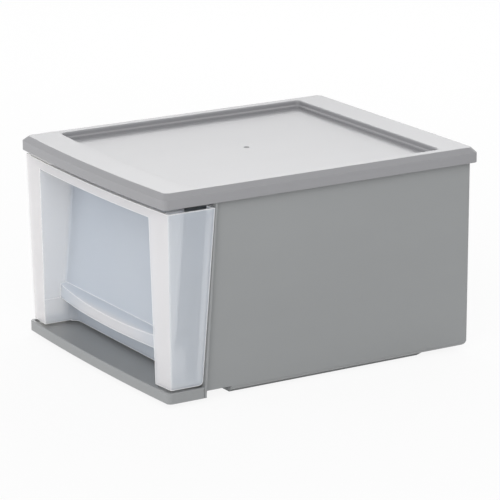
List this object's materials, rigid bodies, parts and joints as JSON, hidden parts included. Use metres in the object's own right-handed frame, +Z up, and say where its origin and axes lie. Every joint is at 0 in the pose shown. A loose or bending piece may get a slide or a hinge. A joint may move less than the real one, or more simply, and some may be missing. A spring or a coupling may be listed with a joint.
{
  "type": "stackable drawer box",
  "caption": "Stackable plastic drawer box with a frosted pull-out drawer, a finger pocket under its front lip, and a recessed top for stacking.",
  "frame": {"origin": "middle of the footprint, on the plane of the two foot rails that the box stands on", "axes": "+Z up; -Y points out of the drawer's front; X runs from side to side"},
  "size_m": [0.3048, 0.3772, 0.2185],
  "materials": {
    "grey_case": "fine satin moulded grey plastic",
    "grey_cover": "satin moulded grey plastic",
    "frosted_drawer": "frosted translucent plastic"
  },
  "bodies": {
    "case": {"case": "grey_case", "top_cover": "grey_cover"},
    "drawer": {"drawer": "frosted_drawer"}
  },
  "joints": [
    {"name": "drawer_slide", "type": "slide", "parent": "case", "child": "drawer", "axis": [0, -1, 0], "range_m": [0, 0.28]}
  ]
}
